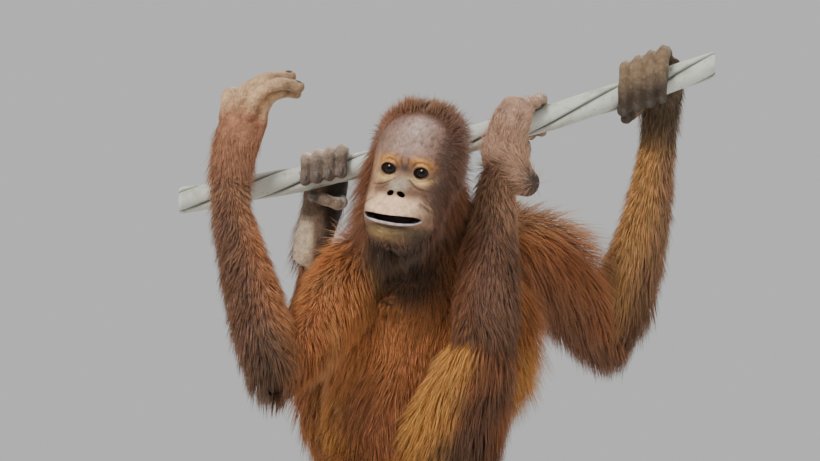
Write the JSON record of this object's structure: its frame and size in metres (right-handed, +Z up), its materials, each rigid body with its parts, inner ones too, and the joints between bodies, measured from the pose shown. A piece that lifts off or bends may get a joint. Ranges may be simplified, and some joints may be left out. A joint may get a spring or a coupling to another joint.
{
  "type": "young orangutan, still life-size model hanging from a rope on a display stand",
  "caption": "Life-size still model of a young orangutan hanging from a short length of twisted rope by one hand and both feet, one hand raised, on a flat base with a rod.",
  "frame": {"origin": "middle of the underside of the stand's base, at floor level", "axes": "+Z up, -Y the way the animal's chest faces, +X towards the animal's left"},
  "size_m": [0.616, 0.44, 0.6592],
  "materials": {
    "coat_arms": "long shaggy red-brown hair",
    "coat_trunk": "long shaggy orange-brown hair",
    "coat_legs": "long shaggy golden-brown hair",
    "face_skin": "soft skin, tan round the eyes, grey-mauve on the forehead, pale on the muzzle",
    "hand_skin": "creased grey-brown skin",
    "eyes": "wet gloss, very dark brown",
    "rope": "weathered smooth grey-green laid rope",
    "stand_wood": "satin stained hardwood",
    "stand_metal": "satin"
  },
  "bodies": {
    "root": {"head": "face_skin", "ear_r": "face_skin", "ear_l": "face_skin", "eye_r": "eyes", "eye_l": "eyes", "neck": "coat_trunk", "torso": "coat_trunk", "pelvis": "coat_trunk", "upper_arm_r": "coat_arms", "upper_arm_l": "coat_arms", "forearm_r": "coat_arms", "forearm_l": "coat_arms", "thigh_r": "coat_legs", "thigh_l": "coat_legs", "shank_r": "coat_legs", "shank_l": "coat_legs", "hand_r": "hand_skin", "hand_r_thumb": "hand_skin", "hand_r_index": "hand_skin", "hand_r_middle": "hand_skin", "hand_r_ring": "hand_skin", "hand_r_little": "hand_skin", "hand_l": "hand_skin", "hand_l_thumb": "hand_skin", "hand_l_index": "hand_skin", "hand_l_middle": "hand_skin", "hand_l_ring": "hand_skin", "hand_l_little": "hand_skin", "foot_r": "hand_skin", "foot_r_hallux": "hand_skin", "foot_r_toe2": "hand_skin", "foot_r_toe3": "hand_skin", "foot_r_toe4": "hand_skin", "foot_r_toe5": "hand_skin", "foot_l": "hand_skin", "foot_l_hallux": "hand_skin", "foot_l_toe2": "hand_skin", "foot_l_toe3": "hand_skin", "foot_l_toe4": "hand_skin", "foot_l_toe5": "hand_skin", "perch_rope": "rope", "stand_base": "stand_wood", "stand_rod": "stand_metal"}
  },
  "joints": []
}
